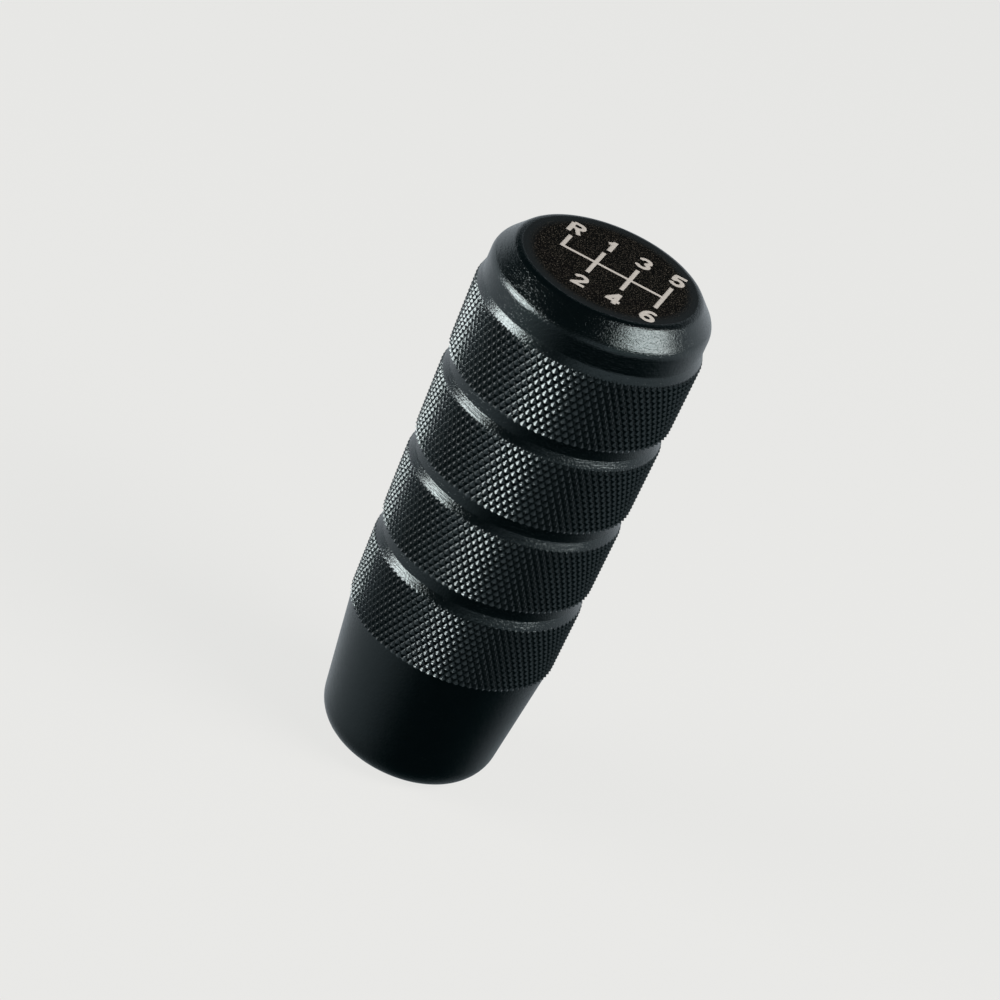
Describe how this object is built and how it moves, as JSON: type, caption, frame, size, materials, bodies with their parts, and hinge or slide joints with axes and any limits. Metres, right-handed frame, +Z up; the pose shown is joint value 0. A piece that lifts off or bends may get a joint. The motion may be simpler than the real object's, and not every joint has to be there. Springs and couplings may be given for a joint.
{
  "type": "gear shift knob",
  "caption": "Tall turned shift knob with knurled grip bands, a bevelled flat top for the gate pattern, and a threaded adapter in its base for the gear lever.",
  "frame": {"origin": "centre of the flat base face, on the knob's axis", "axes": "+Z up along the knob's axis, from the lever socket to the flat top; +Y forward and +X right as the driver reads the gate pattern"},
  "size_m": [0.0378, 0.0378, 0.0939],
  "materials": {
    "coated_steel": "satin textured coat",
    "brass": "turned"
  },
  "bodies": {
    "root": {"body": "coated_steel", "thread_adapter": "brass"}
  },
  "joints": []
}
